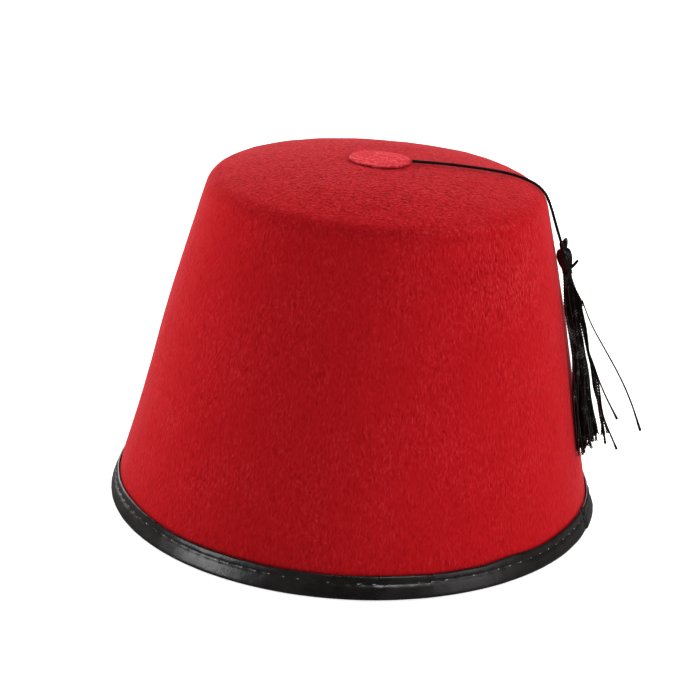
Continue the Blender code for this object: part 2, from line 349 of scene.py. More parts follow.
def swirled(tree, place, size, reach):
    """The place moved about by a slow noise, so that a pattern on it runs in curls."""
    swirl = cloud(tree, place, size).outputs["Color"]
    centred = add_node(tree, "ShaderNodeVectorMath", {"operation": "SUBTRACT"}, {
        0: swirl, 1: (0.5, 0.5, 0.5),
    }).outputs["Vector"]
    moved = add_node(tree, "ShaderNodeVectorMath", {"operation": "SCALE"}, {
        0: centred, "Scale": reach,
    }).outputs["Vector"]
    return add_node(tree, "ShaderNodeVectorMath", {"operation": "ADD"}, {
        0: place, 1: moved,
    }).outputs["Vector"]


# %% Wool felt
FLANK_FIBRE = 0.00070
TOP_FIBRE = 0.0011
# How much the pattern is shortened upwards before it is read, which draws it out.
PULL = 0.30
SWIRL_SIZE = 0.009
SWIRL_REACH = 0.0035
BLOTCH_SIZE = 0.018
TOP_STARTS = 0.1090
TOP_FULL = 0.1240
FELT_RELIEF = 0.00044
LEAST_CLUSTER = 0.70
RUB_AND_HIGHLIGHT_LIFT = 0.045
BLOTCH_LIFT = 0.10
TONE_PLACES = (0.28, 0.46, 0.54, 0.78)


def felt(name, tones, flank_level, top_level):
    """Pressed wool felt in four tones from slot to fibre, with its fibres this strong. The slot
    tones are partly painted shade between fibres, and the fibre tones partly a painted sheen.
    """
    finish, tree, shader, place = new_finish(name)
    bent = swirled(tree, place, SWIRL_SIZE, SWIRL_REACH)
    pulled = add_node(tree, "ShaderNodeMapping", inputs={
        "Vector": bent, "Scale": (1, 1, PULL),
    }).outputs["Vector"]
    flank_nap = cloud(tree, pulled, FLANK_FIBRE, 2.9, detail=2.5, distortion=0.5).outputs["Fac"]
    top_nap = cloud(tree, bent, TOP_FIBRE, 1.1, detail=2.0, distortion=0.8).outputs["Fac"]
    height = add_node(tree, "ShaderNodeSeparateXYZ", inputs={"Vector": place}).outputs["Z"]
    top = span(tree, height, TOP_STARTS, TOP_FULL)
    nap = mixed(tree, top, flank_nap, top_nap)
    blotch = cloud(tree, place, BLOTCH_SIZE, 4.1, detail=3.0).outputs["Fac"]
    cluster = span(tree, blotch, 0.40, 0.62, LEAST_CLUSTER, 1.0)
    # Where the nap is rubbed up, and along the crease a painted highlight line on the ridge.
    rub_and_highlight_mask = add_node(tree, "ShaderNodeAttribute", {"attribute_name": "rubbed_nap_and_crease_highlight"}).outputs["Fac"]
    calm = arithmetic(tree, "MULTIPLY", cluster, flank_level)
    flank_strength = mixed(tree, rub_and_highlight_mask, calm, top_level)
    # Stronger on the top, partly for its coarser nap and partly as painted shade and highlight
    # where the light grazes it.
    strength = mixed(tree, top, flank_strength, top_level)
    centred = arithmetic(tree, "SUBTRACT", nap, 0.5)
    relief = arithmetic(tree, "MULTIPLY", centred, strength)
    # Paler where the nap is rubbed up, and a painted highlight along the crease.
    lifted = arithmetic(tree, "ADD", relief, arithmetic(tree, "MULTIPLY", rub_and_highlight_mask, RUB_AND_HIGHLIGHT_LIFT))
    uneven = arithmetic(tree, "MULTIPLY", arithmetic(tree, "SUBTRACT", blotch, 0.5), BLOTCH_LIFT)
    tone = arithmetic(tree, "ADD", arithmetic(tree, "ADD", lifted, uneven), 0.5)
    colour = ramp(tree, tone, [(at, linear(code)) for at, code in zip(TONE_PLACES, tones)])
    set_inputs(tree, shader, {
        "Base Color": colour, "Normal": raised(tree, relief, FELT_RELIEF),
        "Roughness": 0.95, "IOR": 1.54, "Specular IOR Level": 0.04,
        "Sheen Weight": 0.42, "Sheen Roughness": 0.26, "Sheen Tint": linear("#FF7880"),
    })
    return finish


# From slot to fibre. The dark slot tone is partly painted shade between the fibres, and the light
# fibre tone partly a painted sheen.
FELT_TONES = ("#7C0509", "#AB1016", "#B1141B", "#C62E36")
# The same felt as the crown, drawn lighter and pinker as painted light, for a disc that lies on
# top.
BUTTON_TONES_PAINTED_LIGHTER = ("#A8161D", "#C52A34", "#D03840", "#EA6E74")
red_felt = felt("red_wool_felt", FELT_TONES, 0.68, 1.20)
lit_button_felt = felt("red_wool_felt_cut_disc_painted_lit", BUTTON_TONES_PAINTED_LIGHTER, 0.8, 0.85)
print("felt finishes:", red_felt.name, lit_button_felt.name)

# %% [markdown]
# ### Coated cloth and thread
# The strip is black vinyl on a woven back: a smooth, glossy plastic skin, a little uneven from
# the cloth under it. It gives soft grey highlights on a near black ground. Vinyl has an IOR of
# about 1.53. Its unevenness is drawn 1.5 mm across, and the pores at 0.35 mm.
#
# The sewing thread is polyester and the tassel rayon, both spun from fine, glossy filaments, and
# the cord is duller cotton. Each has streaks 0.1 mm wide, drawn out along the hanging strands. A
# glossy thread gleams where it stands out furthest, at each turn of its twist or the top of its
# stitch. Those spots are smaller than the render can light, so an attribute of the piece marks
# them and a painted glint, a paler colour, is put there, in patches as from strands that lie at
# different angles.

# %% Black vinyl
WEAVE_SIZE = 0.0015
PORE_SIZE = 0.00035
SCUFF_SIZE = 0.012
VINYL_RELIEF = 0.00012


def black_vinyl():
    """Smooth glossy plastic over cloth, with scuffs that are a little paler and duller."""
    finish, tree, shader, place = new_finish("black_coated_vinyl")
    uneven = grain(tree, place, WEAVE_SIZE, 3).outputs["Fac"]
    pores = add_node(tree, "ShaderNodeTexVoronoi", inputs={
        "Vector": place, "Scale": 1 / PORE_SIZE,
    }).outputs["Distance"]
    normal = raised(tree, mixed(tree, 0.2, uneven, pores), VINYL_RELIEF, 0.6)
    scuffs = grain(tree, place, SCUFF_SIZE, 5, Roughness=0.65).outputs["Fac"]
    colour = ramp(tree, scuffs, [(0.35, linear("#100D0C")), (0.75, linear("#221D1C"))])
    duller = add_node(tree, "ShaderNodeMapRange", inputs={
        "Value": scuffs, "From Min": 0.3, "From Max": 0.7, "To Min": 0.24, "To Max": 0.38,
    }).outputs["Result"]
    set_inputs(tree, shader, {
        "Base Color": colour, "Normal": normal, "Roughness": duller, "IOR": 1.53,
    })
    return finish


vinyl = black_vinyl()
print("black finish:", vinyl.name)

# %% Black thread, rayon and cotton
STREAK_WIDTH = 0.0001
STREAK_TONES = ("#030202", "#0C0909")
GLINT_PATCH_SIZE = 0.004


def black_thread(name, roughness, specular, painted_glint_colour, glint_threshold):
    """Fine black filaments, with a painted glint, a paler colour, on the outermost spots where a
    noise is high enough.
    """
    finish, tree, shader, place = new_finish(name)
    along = add_node(tree, "ShaderNodeMapping", inputs={
        "Vector": place, "Scale": (1, 1, 0.15),
    }).outputs["Vector"]
    filaments = grain(tree, along, STREAK_WIDTH).outputs["Fac"]
    dark, light = STREAK_TONES
    colour = ramp(tree, filaments, [(0.35, linear(dark)), (0.70, linear(light))])
    # The attribute marks where the painted glint goes.
    crown = add_node(tree, "ShaderNodeAttribute", {"attribute_name": "crown"}).outputs["Fac"]
    patches = cloud(tree, place, GLINT_PATCH_SIZE, 6.1).outputs["Fac"]
    bright = span(tree, patches, glint_threshold, glint_threshold + 0.10)
    painted_glint_mask = arithmetic(tree, "MULTIPLY", crown, bright)
    set_inputs(tree, shader, {
        "Base Color": mixed(tree, painted_glint_mask, colour, linear(painted_glint_colour), "RGBA"),
        "Normal": raised(tree, filaments, STREAK_WIDTH / 8, 0.7),
        "Roughness": roughness, "IOR": 1.53, "Specular IOR Level": specular,
    })
    return finish


# The last two values are the painted glint's colour and the noise level where it starts.
sewing_thread = black_thread("black_polyester_thread", 0.14, 1.0, "#B0ABAD", 0.40)
rayon = black_thread("black_twisted_rayon", 0.20, 0.40, "#585456", 0.54)
cord_yarn = black_thread("black_twisted_cotton", 0.45, 0.20, STREAK_TONES[1], 0.54)
print("black finishes:", sewing_thread.name, rayon.name, cord_yarn.name)

# %% Twisted cord
CORD_SIDES = 8


def add_cord():
    """Three yarns twisted along the cord's line."""
    vertices, faces = [], []
    for line in yarns(cord_line, CORD_DIAMETER, CORD_TWIST, 3):
        radius = CORD_DIAMETER / 2 * YARN_SHARE[3]
        tube_shell(vertices, faces, line, [radius] * len(line), CORD_SIDES)
    return mesh_piece("twisted_cord", vertices, faces, cord_yarn)


cord = add_cord()
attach(cord, "root")
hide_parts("cord")
print("cord has", len(cord.data.polygons), "faces")

# %% [markdown]
# ## Shape of the crown
# The flank is an oval that narrows as it rises, with a slight swell in the middle and a slight
# flare at the foot. It turns over a rounded shoulder into a low dome. Every piece that lies on
# the felt asks the same few functions where the felt is.

# %% Sizes of the crown
crown_low, crown_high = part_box("crown")
CROWN_HEIGHT = crown_high.z
# How thick the felt and the strip are, and the gap that neighbouring pieces keep.
FELT = 0.0020
STRIP = 0.0008
GAP = 0.0003
STAND_OFF = GAP + STRIP
RIM_LENGTH = 0.190
RIM_WIDTH = 0.174
TOP_LENGTH = 0.1238
TOP_WIDTH = 0.1186
DOME_RISE = 0.0079
DOME_POWER = 2.6
EDGE_RADIUS = 0.0084
FLANK_BULGE = 0.0011
RIM_FLARE = 0.0008
FLARE_REACH = 0.020
# Where the flank would meet the dome if the shoulder weren't rounded.
EDGE_HEIGHT = CROWN_HEIGHT - DOME_RISE
BASE_HALF_LENGTH = RIM_LENGTH / 2 - STAND_OFF - RIM_FLARE
BASE_WIDTH_SHARE = (RIM_WIDTH / 2 - STAND_OFF) / (RIM_LENGTH / 2 - STAND_OFF)
TOP_WIDTH_SHARE = TOP_WIDTH / TOP_LENGTH
# Soft dents: where round the crown, how high and how far they reach, as shares of its height, and
# how deep in millimetres. A negative depth is a swell.
DENT_COLUMNS = ("turn_deg", "half_turn_deg", "height", "half_height", "depth_mm")
DENTS = [
    (-36, 20, 0.86, 0.09, 0.60),
    (-160, 45, 0.06, 0.16, -0.70),
]


def rows(columns, table):
    """The rows of a table as dictionaries that are read by the columns' names."""
    return [dict(zip(columns, row)) for row in table]


def half_length(height):
    """Half the oval's long way at this height of the flank."""
    share = height / EDGE_HEIGHT
    straight = BASE_HALF_LENGTH + (TOP_LENGTH / 2 - BASE_HALF_LENGTH) * share
    bulge = FLANK_BULGE * 4 * share * (1 - share)
    flare = RIM_FLARE * math.exp(-height / FLARE_REACH)
    return straight + bulge + flare


def flank_slope(height):
    """How much the half length changes for each unit of height."""
    step = EDGE_RADIUS / 100
    return (half_length(height + step) - half_length(height - step)) / (2 * step)


def width_share(height):
    """The oval's width as a share of its length."""
    share = min(height / EDGE_HEIGHT, 1)
    return BASE_WIDTH_SHARE + (TOP_WIDTH_SHARE - BASE_WIDTH_SHARE) * share


def dome_height(half):
    """The dome's height where the oval round its middle has this half length."""
    return EDGE_HEIGHT + DOME_RISE * (1 - (half / (TOP_LENGTH / 2)) ** DOME_POWER)


def dent_depth(turn, height):
    """How far the soft dents press the felt in at this place."""
    depth = 0
    for dent in rows(DENT_COLUMNS, DENTS):
        away = math.remainder(turn - math.radians(dent["turn_deg"]), math.tau)
        across = away / math.radians(dent["half_turn_deg"])
        up = (height / CROWN_HEIGHT - dent["height"]) / dent["half_height"]
        if abs(across) < 1 and abs(up) < 1:
            soft = math.cos(across * math.pi / 2) ** 2 * math.cos(up * math.pi / 2) ** 2
            depth += dent["depth_mm"] / 1000 * soft
    return depth


def outward(turn, height):
    """The level direction square to the oval."""
    return Vector((math.cos(turn) / width_share(height), math.sin(turn), 0)).normalized()


def felt_point(turn, height, out=0):
    """A point of the flank's outer side, moved level outwards by out."""
    half = half_length(height)
    around = Vector((half * width_share(height) * math.cos(turn), half * math.sin(turn), height))
    return around + outward(turn, height) * (out - dent_depth(turn, height))


def beside_flank(turn, height, away):
    """A point this far from the flank, square to it, and the directions out and up there."""
    level = outward(turn, height)
    lean = flank_slope(height)
    out = (level - Vector((0, 0, lean))).normalized()
    up = (level * lean + Vector((0, 0, 1))).normalized()
    return felt_point(turn, height) + out * away, out, up


print("crown", [round(1000 * size, 1) for size in crown_high - crown_low], "mm wide, long and high")

# %% [markdown]
# ## Modelling by hand, in code
# An operator works on everything that is selected, so nothing may be left selected from before.
# A ring that is extruded over and over gives a tube of rings, which is how a hatter's block or a
# turned form is drawn in edit mode. Its vertices are then moved to where a function says that
# the real surface is.

# %% Helpers for modelling


def clear_selection():
    bpy.ops.object.select_all(action="DESELECT")


def in_edit_mode(piece, select="ALL"):
    """Opens one piece alone in edit mode, with all or none of it selected."""
    clear_selection()
    piece.select_set(True)
    bpy.context.view_layer.objects.active = piece
    bpy.ops.object.mode_set(mode="EDIT")
    bpy.ops.mesh.select_all(action="SELECT" if select == "ALL" else "DESELECT")


def out_of_edit_mode():
    bpy.ops.object.mode_set(mode="OBJECT")


def apply_modifier(piece, kind, **settings):
    """Adds one modifier with these settings and applies it."""
    clear_selection()
    piece.select_set(True)
    bpy.context.view_layer.objects.active = piece
    modifier = piece.modifiers.new(kind.lower(), kind)
    for name, value in settings.items():
        setattr(modifier, name, value)
    bpy.ops.object.modifier_apply(modifier=modifier.name)


def ring_stack(name, rings, turns):
    """A tube of so many rings, one unit apart from 0 up, open at both ends, still to be shaped."""
    clear_selection()
    bpy.ops.mesh.primitive_circle_add(vertices=turns, radius=1, location=(0, 0, 0))
    piece = bpy.context.object
    piece.name = name
    bpy.ops.object.mode_set(mode="EDIT")
    bpy.ops.mesh.select_all(action="SELECT")
    for _ in range(rings - 1):
        bpy.ops.mesh.extrude_region_move(TRANSFORM_OT_translate={"value": (0, 0, 1)})
    out_of_edit_mode()
    return piece


def select_open_edges(piece):
    in_edit_mode(piece, select="NONE")
    bpy.ops.mesh.select_mode(type="EDGE")
    bpy.ops.mesh.select_non_manifold(extend=False, use_wire=False, use_boundary=True)


def close_open_ends(piece):
    select_open_edges(piece)
    bpy.ops.mesh.edge_face_add()
    out_of_edit_mode()


def point_faces_out(piece):
    in_edit_mode(piece)
    bpy.ops.mesh.normals_make_consistent(inside=False)
    out_of_edit_mode()


def finish_piece(piece, name, finish):
    piece.name = name
    piece.data.name = name
    piece.data.materials.clear()
    piece.data.materials.append(finish)
    piece.data.shade_smooth()
    return piece


def bell(value, middle, width):
    """1 at the middle, and soft to nothing at a few widths from it."""
    return math.exp(-((value - middle) / width) ** 2)


def fade(value, start, width):
    """0 up to the start, and then evenly up to 1 at a width past it."""
    return min(1, max(0, (value - start) / width))


def round_point(radius, turn, height=0):
    """A point this far from the upright axis."""
    return Vector((radius * math.cos(turn), radius * math.sin(turn), height))


# %% [markdown]
# ## Felt crown
# The real crown is one hood of felt, steamed and pulled over a block, so it has no seam. Here a
# ring is drawn up over the same shape: up the flank, round the shoulder and in over the dome.
# Subdivision makes it smooth. Then the surface is moved in and out a little, as pressed felt
# is never quite even, and the wall gets its thickness last.

# %% Rings of the crown
CROWN_TURNS = 72
LOW_RINGS = 9
# Rings lie closer from this height up, where the felt is creased.
HIGH_STARTS = 0.092
HIGH_RINGS = 9
EDGE_RINGS = 6
DOME_RINGS = 8
CENTRE_SHARE = 0.03


def shoulder_arc():
    """Where the rounded shoulder starts, its centre, and the angle that it turns through."""
    corner = Vector((TOP_LENGTH / 2, EDGE_HEIGHT))
    flank = Vector((flank_slope(EDGE_HEIGHT - EDGE_RADIUS), 1)).normalized()
    dome = Vector((-1, DOME_POWER * DOME_RISE / (TOP_LENGTH / 2))).normalized()
    angle = math.acos(flank.dot(dome))
    start = corner - flank * EDGE_RADIUS * math.tan(angle / 2)
    centre = start + Vector((-flank.y, flank.x)) * EDGE_RADIUS
    return start, centre, angle


def crown_rings():
    """The rings from the lower edge to near the top's middle, as half length and height."""
    start, centre, sweep = shoulder_arc()
    foot = STAND_OFF
    rings = []
    for step in range(LOW_RINGS):
        height = foot + (HIGH_STARTS - foot) * step / LOW_RINGS
        rings.append((half_length(height), height))
    for step in range(HIGH_RINGS):
        height = HIGH_STARTS + (start.y - HIGH_STARTS) * step / HIGH_RINGS
        rings.append((half_length(height), height))
    for step in range(EDGE_RINGS + 1):
        angle = sweep * step / EDGE_RINGS
        away = Vector((start.x - centre.x, start.y - centre.y))
        turned = Vector((
            away.x * math.cos(angle) - away.y * math.sin(angle),
            away.x * math.sin(angle) + away.y * math.cos(angle),
        ))
        rings.append((centre.x + turned.x, centre.y + turned.y))
    last = rings[-1][0]
    for step in range(1, DOME_RINGS + 1):
        half = last + (TOP_LENGTH / 2 * CENTRE_SHARE - last) * step / DOME_RINGS
        rings.append((half, dome_height(half)))
    return rings


def build_crown():
    """Draws a ring up through all the places of crown_rings, and closes it at the top."""
    rings = crown_rings()
    clear_selection()
    bpy.ops.mesh.primitive_circle_add(vertices=CROWN_TURNS, radius=1, location=(0, 0, rings[0][1]))
    crown = bpy.context.object
    bpy.ops.object.mode_set(mode="EDIT")
    bpy.ops.mesh.select_all(action="SELECT")
    half, height = rings[0]
    oval = (half * width_share(height), half, 1)
    bpy.ops.transform.resize(value=oval, center_override=(0, 0, height))
    for (half, height), (next_half, next_height) in zip(rings, rings[1:]):
        rise = {"value": (0, 0, next_height - height)}
        bpy.ops.mesh.extrude_region_move(TRANSFORM_OT_translate=rise)
        narrower = next_half / half
        across = narrower * width_share(next_height) / width_share(height)
        middle = (0, 0, next_height)
        bpy.ops.transform.resize(value=(across, narrower, 1), center_override=middle)
    bpy.ops.mesh.extrude_region_move(TRANSFORM_OT_translate={"value": (0, 0, 0)})
    bpy.ops.mesh.merge(type="CENTER")
    out_of_edit_mode()
    point_faces_out(crown)
    bpy.ops.object.transform_apply(location=True, rotation=True, scale=True)
    apply_modifier(crown, "SUBSURF", levels=2, render_levels=2)
    return crown


crown = build_crown()
print("crown cage subdivided to", len(crown.data.polygons), "faces")

# %% Uneven felt
# A crease that pressing left near the top, in front: a ridge with a dip under it.
CREASE_TURN = math.radians(-39)
CREASE_HALF_TURN = math.radians(24)
CREASE_HEIGHT = 0.1168
CREASE_DROOP = 0.0025
RIDGE_HEIGHT = 0.00050
RIDGE_WIDTH = 0.0008
DIP_DEPTH = 0.00036
DIP_WIDTH = 0.0014
DIP_BELOW = 0.0020
# The round patch below it where the nap is rubbed up, and how strongly the patch shows and how
# strongly the crease's painted highlight line shows.
PATCH_TURN = math.radians(-26)
PATCH_HALF_TURN = math.radians(18)
PATCH_HEIGHT = 0.099
PATCH_HALF_HEIGHT = 0.016
PATCH_RUB = 0.70
CREASE_HIGHLIGHT = 2.2
# Lumps of the felt: how wide and how high. They fade out towards the foot, which the strip holds.
LUMPS = ((0.030, 0.00030), (0.011, 0.00016), (0.0045, 0.00007))
EVEN_FOOT = 0.004
EVEN_FADE = 0.008


def crease(turn):
    """How strong the crease is at this turn, and its height there: level, then drooping."""
    away = math.remainder(turn - CREASE_TURN, math.tau) / CREASE_HALF_TURN
    return max(0, 1 - away ** 2), CREASE_HEIGHT - CREASE_DROOP * max(0, away) ** 2


def press_marks(turn, height):
    """How far the crease stands out from the felt at this place."""
    strength, middle = crease(turn)
    ridge = RIDGE_HEIGHT * bell(height, middle, RIDGE_WIDTH)
    dip = DIP_DEPTH * bell(height, middle - DIP_BELOW, DIP_WIDTH)
    return strength * (ridge - dip)


def rubbed_nap_and_crease_highlight(turn, height):
    """How much the nap is rubbed up softly in the patch, and most along the crease, where it is a
    painted highlight line on the ridge.
    """
    away = math.remainder(turn - PATCH_TURN, math.tau) / PATCH_HALF_TURN
    up = (height - PATCH_HEIGHT) / PATCH_HALF_HEIGHT
    patch = math.exp(-(away ** 2 + up ** 2) ** 2)
    strength, middle = crease(turn)
    return PATCH_RUB * patch + CREASE_HIGHLIGHT * strength * bell(height, middle, RIDGE_WIDTH)


def unevenness(place):
    """Lumps of three sizes, each a little longer upwards."""
    height = 0
    for number, (size, lump) in enumerate(LUMPS):
        stretched = Vector((place.x, place.y, place.z * 0.6)) / size
        height += lump * noise.noise(stretched + Vector((7.3, 1.9, 4.1)) * (number + 1))
    return height


def press_felt(crown):
    """Moves the surface in and out, and stores where the nap is rubbed up and where the crease's
    painted highlight goes.
    """
    mesh = crown.data
    marks = mesh.attributes.new("rubbed_nap_and_crease_highlight", "FLOAT", "POINT")
    moves = []
    for vertex in mesh.vertices:
        place = vertex.co
        turn = math.atan2(place.y / RIM_LENGTH, place.x / RIM_WIDTH)
        soft = fade(place.z, EVEN_FOOT, EVEN_FADE)
        away = unevenness(place) * soft + press_marks(turn, place.z) - dent_depth(turn, place.z)
        moves.append(vertex.normal * away)
        marks.data[vertex.index].value = rubbed_nap_and_crease_highlight(turn, place.z)
    for vertex, move in zip(mesh.vertices, moves):
        vertex.co += move
    mesh.update()


press_felt(crown)
apply_modifier(crown, "SOLIDIFY", thickness=FELT, offset=-1, use_even_offset=True)
finish_piece(crown, "felt_crown", red_felt)
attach(crown, "root")
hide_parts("crown")
print("felt crown has", len(crown.data.polygons), "faces")

# %% [markdown]
# ## Folded strip
# The strip hides the felt's cut edge. It lies on the outer side, folds under the edge and goes up
# inside, and one row of stitches holds both leaves. The thread pulls the vinyl in, so a groove
# runs round it, with a dimple at each needle hole, a full roll below and a thin free lip above.
# The section is a closed outline, drawn once and carried round the oval by bridging the last
# ring of the tube to the first.

# %% Section of the strip
STRIP_TURNS = 576
STITCH_COUNT = 108
STITCH_HEIGHT = 0.0051
SECTION_SPACING = 0.00052
# Outer side from the lip down, under the edge, up the inner side, and back along the felt.
SECTION_COLUMNS = ("side", "away_mm", "height_mm")
SECTION = [
    ("out", 0.66, 7.66),
    ("out", 0.94, 7.35),
    ("out", 1.04, 6.70),
    ("out", 1.08, 6.00),
    ("out", 1.05, 5.50),
    ("out", 0.94, 5.22),
    ("out", 0.96, 5.00),
    ("out", 1.22, 4.68),
    ("out", 1.42, 4.05),
    ("out", 1.56, 3.00),
    ("out", 1.68, 1.80),
    ("out", 1.72, 0.80),
    ("out", 1.52, 0.22),
    ("out", 1.05, 0.02),
    ("out", 0.35, 0.00),
    ("out", -0.60, 0.00),
    ("in", -0.60, 0.00),
    ("in", 0.35, 0.08),
    ("in", 1.05, 0.60),
    ("in", 1.40, 1.70),
    ("in", 1.45, 2.90),
    ("in", 1.30, 4.00),
    ("in", 1.10, 4.72),
    ("in", 0.84, 5.10),
    ("in", 0.92, 5.35),
    ("in", 1.18, 5.80),
    ("in", 1.25, 6.60),
    ("in", 1.15, 7.20),
    ("in", 0.85, 7.60),
    ("in", 0.35, 7.45),
    ("in", 0.20, 6.60),
    ("in", 0.15, 4.80),
    ("in", 0.20, 2.60),
    ("in", 0.10, 1.10),
    ("in", -0.50, 0.72),
    ("out", -0.50, 0.72),
    ("out", 0.10, 1.10),
    ("out", 0.20, 2.60),
    ("out", 0.15, 4.80),
    ("out", 0.20, 6.60),
    ("out", 0.40, 7.45),
]
# The felt's thickness, measured level.
FELT_LEVEL = FELT * math.hypot(1, flank_slope(0))


def strip_section():
    """The closed section as points: how far out from the felt's outer side, and the height."""
    points = []
    for row in rows(SECTION_COLUMNS, SECTION):
        away = row["away_mm"] / 1000
        level = away if row["side"] == "out" else -FELT_LEVEL - away
        points.append(Vector((level, row["height_mm"] / 1000, 0)))
    closed = smooth_line(points + points[:1], SECTION_SPACING)
    return [(point.x, point.y) for point in closed[:-1]]


section = strip_section()
print("strip section has", len(section), "points")

# %% Folded strip
LAP_START = math.radians(3)
LAP_TURN = 0.020 / (RIM_WIDTH / 2)
LAP_STEP = 0.00055
LAP_FADE = math.radians(2.5)
CUT_SHARE = 0.08
WAVE_HEIGHT = 0.00032
RIPPLE_HEIGHT = 0.00014
BUMP_TURN = math.radians(-31)
BUMP_HALF_TURN = math.radians(5)
BUMP_HEIGHT = 0.0006
DIMPLE_DEPTH = 0.00022
DIMPLE_WIDTH = 0.0006
CRINKLE_SIZES = (0.009, 0.0028)
CRINKLE_HEIGHTS = (0.00018, 0.00014)
# The faces against the felt stay smooth, and so does the foot, which stands on the floor.
SKIN_STARTS = 0.0005
SKIN_FADE = 0.0004
FOOT_FADE = 0.0006
# The free lips rise and fall above this height.
LIP_STARTS = 0.0055
LIP_FADE = 0.002


def cut_column(turn):
    """Moves the two columns beside the lap's cut end close to it, so that the step is sharp."""
    pitch = math.tau / STRIP_TURNS
    away = math.remainder(turn - LAP_START, math.tau)
    if 0 <= away < pitch:
        return LAP_START + pitch * CUT_SHARE
    if -pitch < away < 0:
        return LAP_START - pitch * CUT_SHARE
    return turn


def lap_step(turn):
    """How far the strip is lifted where it laps over its own start: a sharp step, fading out."""
    past = math.remainder(turn - LAP_START, math.tau)
    if past < 0 or past > LAP_TURN + LAP_FADE:
        return 0
    return LAP_STEP * min(1, (LAP_TURN + LAP_FADE - past) / LAP_FADE)


def lip_rise(turn):
    """How far the free lips stand above or below their place: soft waves and one bump in front."""
    around = round_point(1, turn) * 3.6
    waves = WAVE_HEIGHT * noise.noise(around) + RIPPLE_HEIGHT * noise.noise(around * 3.7)
    bump = BUMP_HEIGHT * bell(turn, BUMP_TURN, BUMP_HALF_TURN)
    return waves + bump + 0.5 * lap_step(turn)


def stitch_pull(turn, height):
    """How far the thread pulls the vinyl in: deepest at the needle holes, less between them."""
    hole = abs(math.remainder(turn * STITCH_COUNT / math.tau, 1)) * math.tau / STITCH_COUNT
    along = hole * RIM_LENGTH / 2
    return DIMPLE_DEPTH * bell(along, 0, DIMPLE_WIDTH) * bell(height, STITCH_HEIGHT, DIMPLE_WIDTH)


def crinkles(turn, height):
    """Small wrinkles of the vinyl across the roll, where the strip was eased round the bend."""
    around = Vector((math.cos(turn) * RIM_WIDTH / 2, math.sin(turn) * RIM_LENGTH / 2, height))
    slow = noise.noise(around / CRINKLE_SIZES[0])
    fine = noise.noise(Vector((around.x, around.y, around.z * 0.45)) / CRINKLE_SIZES[1])
    return CRINKLE_HEIGHTS[0] * slow + CRINKLE_HEIGHTS[1] * fine * (0.4 + max(0, slow))


def strip_point(turn, number):
    """Where this point of the section lies at this turn, with the strip's unevenness."""
    out, height = section[number]
    face = abs(out + FELT_LEVEL / 2) - FELT_LEVEL / 2
    skin = fade(face, SKIN_STARTS, SKIN_FADE)
    lip = fade(height, LIP_STARTS, LIP_FADE)
    foot = min(1, height / FOOT_FADE)
    outer_or_inner = 1 if out > -FELT_LEVEL / 2 else -1
    vinyl_relief = crinkles(turn, height * outer_or_inner) * foot - stitch_pull(turn, height)
    change = skin * vinyl_relief + lap_step(turn) * foot * skin
    return felt_point(turn, height + lip_rise(turn) * lip, out + outer_or_inner * change)


def build_strip():
    """Rings of the section's points, bridged into a closed loop, each moved to its place."""
    strip = ring_stack("strip", len(section), STRIP_TURNS)
    select_open_edges(strip)
    bpy.ops.mesh.bridge_edge_loops()
    out_of_edit_mode()
    for vertex in strip.data.vertices:
        turn = cut_column(math.atan2(vertex.co.y, vertex.co.x))
        vertex.co = strip_point(turn, round(vertex.co.z))
    strip.data.update()
    point_faces_out(strip)
    return finish_piece(strip, "folded_strip", vinyl)


strip = build_strip()
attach(strip, "root")
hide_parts("edge_binding")
print("strip has", len(strip.data.polygons), "faces")

# %% [markdown]
# ## Stitches
# Each stitch is a short length of thread that comes out of one needle hole and goes into the next,
# bowed up a little between them. One is placed after another round the groove, outside and inside.

# %% Stitches
THREAD_RADIUS = 0.00021
THREAD_SIDES = 6
THREAD_SPACING = 0.0003
STITCH_POINTS = 7
STITCH_SHARE = 0.775
# Both ends of a stitch are sunk in the vinyl, this far from the felt's faces, and it bows out.
SUNK_ENDS = 0.00028
BOW = 0.00062
SLANT = 0.00012


def stitch_line(number, outer):
    """One stitch, from needle hole to needle hole, on the outer or the inner side."""
    pitch = math.tau / STITCH_COUNT
    line = []
    for share in shares(STITCH_POINTS):
        turn = pitch * (number + 0.5 + (share - 0.5) * STITCH_SHARE)
        out = SUNK_ENDS + BOW * math.sin(share * math.pi)
        level = out if outer else -FELT_LEVEL - out
        line.append(felt_point(turn, STITCH_HEIGHT + SLANT * (share - 0.5), level))
    return line


def build_stitches():
    """Two rows of stitches. The middle of each is marked for a painted glint."""
    vertices, faces, painted_glints = [], [], []
    for outer in (True, False):
        for number in range(STITCH_COUNT):
            line = smooth_line(stitch_line(number, outer), THREAD_SPACING)
            tube_shell(vertices, faces, line, [THREAD_RADIUS] * len(line), THREAD_SIDES)
            for ring in range(len(line)):
                painted_glints += [bell(ring, len(line) // 2, 1)] * THREAD_SIDES
    piece = mesh_piece("stitches", vertices, faces, sewing_thread)
    mark_painted_glints(piece, painted_glints)
    return piece


stitches = build_stitches()
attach(stitches, "root")
print("stitches have", len(stitches.data.polygons), "faces")

# %% [markdown]
# ## Button
# A disc cut from the same felt is sewn on the middle of the top. Its cut edge is a little soft and
# round, and it lifts over the cord that comes out from beneath it. Its tones are lighter and pinker
# than the crown's, which is painted light on a disc that lies on top.

# %% Button
button_low, button_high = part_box("top_button")
BUTTON_RADIUS = (button_high.x - button_low.x) / 2
BUTTON_THICKNESS = 0.00075
BUTTON_TURNS = 96
BUTTON_ROUND = 0.00040
BUTTON_SPACING = 0.0005
BUTTON_HOLE = 0.0002
# Where the cord comes out, and how far the edge is lifted over it.
CORD_TURN = math.atan2(CORD_ROUTE[1][1], CORD_ROUTE[1][0])
CORD_HALF_TURN = 0.16
CORD_LIFT = 0.00035
RAGGED = 0.00010
BUTTON_LUMP = 0.00008
BUTTON_LUMP_SIZE = 0.0022
WARP = 0.0001


